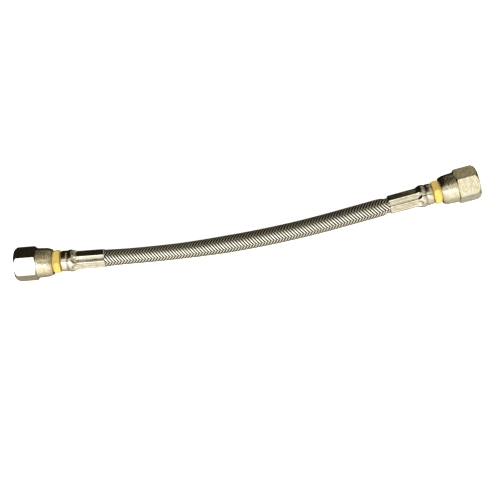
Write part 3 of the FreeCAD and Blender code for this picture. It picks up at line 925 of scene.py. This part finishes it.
# %% Turned ferrule
DIES = 8
DIE_COLUMNS = 16
COLUMN_ANGLE = 360 / DIES / DIE_COLUMNS
FERRULE_START = 33.5
FLANGE_RADIUS = 5.3
FLANGE_END = 35.9
POCKET_RADIUS = 6.3
HOSE_BORE = 5.75
COLLAR_RADIUS = 7.7
LINE_START = 37.4
LINE_DEPTH = 0.38
BULGE_START = 38.25
BULGE_END = 44.85
BULGE_RISE = 0.825
RIB_RADIUS = 7.05
RIB_RINGS = 9
FIRST_RING = 46.0
LAST_RING = 64.5

front_edge = [(FERRULE_START + back, COLLAR_RADIUS - down)
              for back, down in ((0.0, 0.45), (0.06, 0.14), (0.3, 0.0))]
line = [(LINE_START + back, COLLAR_RADIUS - down)
        for back, down in ((0.0, 0.0), (0.15, 0.03), (0.42, LINE_DEPTH), (0.58, LINE_DEPTH))]
bulge = arc((BULGE_START, COLLAR_RADIUS), (BULGE_END, RIB_RADIUS), BULGE_RISE, steps=20)
behind_bulge = (BULGE_END + 0.35, RIB_RADIUS)
ribs = [(along, RIB_RADIUS) for along in np.linspace(FIRST_RING, LAST_RING, RIB_RINGS).tolist()]
mouth_edge = [(FERRULE_END - back, RIB_RADIUS - down)
              for back, down in ((0.25, 0.05), (0.05, 0.25), (0.0, 0.5))]
bell = [(FERRULE_END - back, HOSE_BORE + out)
        for back, out in ((0.0, 0.35), (0.1, 0.22), (0.9, 0.0))]
ferrule_section = [
    (FERRULE_START, FLANGE_RADIUS),
    *front_edge,
    *line,
    *bulge,
    behind_bulge,
    *ribs,
    *mouth_edge,
    *bell,
    (HOSE_STOP, HOSE_BORE),
    (HOSE_STOP, POCKET_RADIUS),
    (FLANGE_END, POCKET_RADIUS),
    (FLANGE_END, FLANGE_RADIUS),
]
ferrule = turned_shell("ferrule_model", ferrule_section, DIES * DIE_COLUMNS, COLUMN_ANGLE / 2)
print("ferrule corners in its section:", len(ferrule_section))

# %% [markdown]
# ## The eight dies
# The dies press the ferrule onto the hose and leave a rib between each two of them, and a scoop in
# the bulge where each die's nose ended. In each ring of the shell the points under a die are selected
# by their place and drawn in to the pressed radius, or to the die's rounded nose. A die's face is
# nearly flat, so it reflects one part of the room, and each face of the ferrule shows as one light or
# dark band. A Subdivision Surface then rounds the ribs as the metal itself flows.

# %% Shape of a die
PRESSED_RADIUS = 6.5
DIE_FLATNESS = 0.7
DIE_HALF_WIDTH = 17.0
NOSE_RADIUS = 4.0
NOSE_CENTRE = 44.3
NOSE_POINT = 1.4


def die_radius(along, off_middle):
    """How far from the axis a die ends up, at a distance along and at degrees off its own middle."""
    before_nose = NOSE_CENTRE + NOSE_POINT * (off_middle / DIE_HALF_WIDTH) ** 2 - along
    if off_middle > DIE_HALF_WIDTH or before_nose >= NOSE_RADIUS:
        return math.inf
    face = PRESSED_RADIUS * (1 + DIE_FLATNESS * (1 / math.cos(math.radians(off_middle)) - 1))
    if before_nose <= 0:
        return face
    return face + NOSE_RADIUS - math.sqrt(NOSE_RADIUS ** 2 - before_nose ** 2)


def off_die(place):
    """Degrees round the fitting from a point to the middle of the nearest die."""
    half = 180 / DIES
    angle = math.degrees(math.atan2(place.y, place.x)) % (2 * half)
    return min(angle, 2 * half - angle)


print("middle of a pressed face in mm:", die_radius(FERRULE_END, 0.0))

# %% Pressing
SAME_PLACE = 0.01

activate(ferrule)
bpy.ops.object.mode_set(mode="EDIT")
bpy.ops.mesh.select_mode(type="VERT")
editing = bmesh.from_edit_mesh(ferrule.data)
presses = 0
for along, radius in [*bulge, behind_bulge, *ribs, *mouth_edge]:
    mouth_round = RIB_RADIUS - radius if (along, radius) in mouth_edge else 0.0
    ring = [vert for vert in editing.verts
            if abs(vert.co.z / MM - along) < SAME_PLACE
            and abs(vert.co.xy.length / MM - radius) < SAME_PLACE]
    for column in range(DIE_COLUMNS // 2):
        off_middle = (column + 0.5) * COLUMN_ANGLE
        pressed = die_radius(along, off_middle) - mouth_round
        if pressed >= radius:
            continue
        bpy.ops.mesh.select_all(action="DESELECT")
        for vert in ring:
            if abs(off_die(vert.co) - off_middle) < COLUMN_ANGLE / 4:
                vert.select_set(True)
        editing.select_flush_mode()
        shrink = pressed / radius
        bpy.ops.transform.resize(value=(shrink, shrink, 1), center_override=(0, 0, along * MM))
        presses += 1
bpy.ops.object.mode_set(mode="OBJECT")
print("presses:", presses)

# %% Both ferrules
apply_modifier(ferrule, "SUBSURF", levels=1, render_levels=1)
ferrule.data.polygons.foreach_set("use_smooth", [True] * len(ferrule.data.polygons))
finish_model(ferrule, ferrule_finish)
for side in fitting_place:
    put(ferrule, side + "_ferrule_piece", side, "hose", DIE_SPIN[side])
bpy.data.objects.remove(ferrule)
print("ferrules made:", len(fitting_place))

# %% [markdown]
# ## The floor
# The hose lies on plain matt paper. The photograph's background is pure white, so the paper also
# gives out a little light of its own, which keeps it white under the hose. Reflections don't see it,
# because the real hose wasn't photographed on paper: its undersides mirror something dark. The
# paper's faint cloudiness is about 25 mm across.

# %% Floor
FLOOR_SIZE = 6.0
FLOOR_DROP = 0.2 * MM

floor_finish, tree, output = new_material("paper_matt_white")
coordinates = add_node(tree, "ShaderNodeTexCoord")
grain = add_node(tree, "ShaderNodeTexNoise", {
    "Vector": coordinates.outputs["Object"], "Scale": 40.0, "Detail": 4.0})
tint = add_node(tree, "ShaderNodeValToRGB", {"Fac": grain.outputs["Fac"]},
                stops=[(0.0, "#F7F7F5"), (1.0, "#FFFFFF")])
surface = add_node(tree, "ShaderNodeBsdfPrincipled", {
    "Base Color": tint.outputs["Color"],
    "Roughness": 0.9,
    "Emission Color": linear("#FFFFFF"),
    "Emission Strength": 0.75,
})
tree.links.new(surface.outputs["BSDF"], output.inputs["Surface"])
bpy.ops.mesh.primitive_plane_add(size=FLOOR_SIZE, location=(0, 0, -FLOOR_DROP))
floor = bpy.context.object
floor.name = "floor"
floor.data.materials.append(floor_finish)
floor.visible_glossy = False
print("floor laid")

# %% [markdown]
# ## The room that the metal mirrors
# Bright metal shows what is round it, so a metal object needs a room as much as it needs a light. A
# studio could be built from large cards round the hose. Here a world shader does the same with two
# colour ramps, read by the direction round the hose's own line: 0.5 is straight up, 0.25 is level on
# the near side, 0.75 is level on the far side, and both ends are straight down. The near side and
# the top are bright, a narrow dark strip like a lamp's frame hangs a little past the top, and the
# far side is dark. The left fitting mirrors a darker far side than the right one, so each has its
# own ramp.

# %% Two halves of the room
LEFT_ROOM = [
    (0.0, "#14110E"),
    (0.1, "#3A372F"),
    (0.14, "#7A7466"),
    (0.19, "#7C776A"),
    (0.26, "#A39D8D"),
    (0.31, "#B9B4A5"),
    (0.4, "#C9C5B8"),
    (0.46, "#FFFFFF"),
    (0.508, "#FFFFFF"),
    (0.516, "#1E1B15"),
    (0.536, "#1E1B15"),
    (0.545, "#D6D1BF"),
    (0.575, "#989380"),
    (0.62, "#37332A"),
    (0.66, "#15130E"),
    (0.71, "#12100C"),
    (0.75, "#12100C"),
    (0.8, "#15130E"),
    (0.9, "#0A0907"),
]
RIGHT_ROOM = [
    (0.0, "#14110E"),
    (0.1, "#45423B"),
    (0.14, "#928E86"),
    (0.19, "#8B8676"),
    (0.26, "#96917F"),
    (0.31, "#B0AB99"),
    (0.38, "#C8C4B5"),
    (0.44, "#B8B39E"),
    (0.476, "#A5A189"),
    (0.508, "#A5A189"),
    (0.516, "#1E1B15"),
    (0.536, "#1E1B15"),
    (0.545, "#C4BFA9"),
    (0.575, "#9F9A84"),
    (0.615, "#857F6B"),
    (0.66, "#8A836C"),
    (0.705, "#79725B"),
    (0.75, "#4A4537"),
    (0.8, "#7E7762"),
    (0.85, "#4A4537"),
    (0.9, "#0F0D0B"),
]
print("stops of light:", len(LEFT_ROOM), "and", len(RIGHT_ROOM))

# %% [markdown]
# ## The world
# The two ramps change over where a mirrored ray leans a little to the right. Rays that lean far along
# the hose, either way, meet the dimmer ends of the room. Only mirrored and scattered light sees the
# ramps. The camera itself sees a plain pale backdrop.

# %% World
scene = bpy.context.scene
scene.view_settings.view_transform = "Standard"
world = bpy.data.worlds.new("room")
scene.world = world
world.use_nodes = True
tree = world.node_tree
tree.nodes.clear()
direction = add_node(tree, "ShaderNodeTexCoord")
parts = add_node(tree, "ShaderNodeSeparateXYZ", {"Vector": direction.outputs["Generated"]})
lean = add_node(tree, "ShaderNodeMath", {
    0: parts.outputs["Y"], 1: parts.outputs["Z"]}, operation="ARCTAN2")
share = add_node(tree, "ShaderNodeMapRange", {
    "Value": lean.outputs["Value"], "From Min": -math.pi, "From Max": math.pi})
left_room = add_node(tree, "ShaderNodeValToRGB", {"Fac": share.outputs["Result"]}, stops=LEFT_ROOM)
right_room = add_node(tree, "ShaderNodeValToRGB", {"Fac": share.outputs["Result"]}, stops=RIGHT_ROOM)
rightward = add_node(tree, "ShaderNodeMapRange", {
    "Value": parts.outputs["X"], "From Min": 0.035, "From Max": 0.085})
room = add_node(tree, "ShaderNodeMix", {
    0: rightward.outputs["Result"],
    6: left_room.outputs["Color"],
    7: right_room.outputs["Color"],
}, data_type="RGBA")
sideways = add_node(tree, "ShaderNodeMath", {0: parts.outputs["X"]}, operation="ABSOLUTE")
brightness = add_node(tree, "ShaderNodeMapRange", {
    "Value": sideways.outputs["Value"], "From Min": 0.42, "From Max": 0.75,
    "To Min": 2.86, "To Max": 1.4})
lit_room = add_node(tree, "ShaderNodeBackground", {
    "Color": room.outputs[2], "Strength": brightness.outputs["Result"]})
backdrop = add_node(tree, "ShaderNodeBackground", {"Color": linear("#F8F8F6"), "Strength": 1.0})
shown = add_node(tree, "ShaderNodeLightPath")
light = add_node(tree, "ShaderNodeMixShader", {
    0: shown.outputs["Is Camera Ray"],
    1: lit_room.outputs["Background"],
    2: backdrop.outputs["Background"],
})
add_node(tree, "ShaderNodeOutputWorld", {"Surface": light.outputs["Shader"]})
print("room made")

# %% [markdown]
# ## The soft light
# One large square lamp high above the near side evens out the light on the brass and on the paper,
# and gives the soft shade under the hose. It isn't mirrored, because the room already holds the
# bright parts.

# %% Soft light
LAMP_PLACE = (0.0, -0.3, 1.6)
LAMP_SIZE = 2.4
LAMP_WATTS = 25.0

soft_light = bpy.data.objects.new("soft_light", bpy.data.lights.new("soft_light", "AREA"))
scene.collection.objects.link(soft_light)
soft_light.location = LAMP_PLACE
soft_light.data.size = LAMP_SIZE
soft_light.data.energy = LAMP_WATTS
soft_light.visible_glossy = False
print("lit")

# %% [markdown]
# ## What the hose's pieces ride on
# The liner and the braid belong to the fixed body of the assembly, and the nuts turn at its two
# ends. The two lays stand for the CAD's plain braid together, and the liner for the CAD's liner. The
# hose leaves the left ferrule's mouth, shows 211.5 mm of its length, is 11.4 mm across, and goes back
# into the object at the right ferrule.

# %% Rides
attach(liner, "hose")
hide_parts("liner")
for piece in lays.values():
    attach(piece, "hose")
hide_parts("braid")
print("pieces on the hose:", 1 + len(lays))
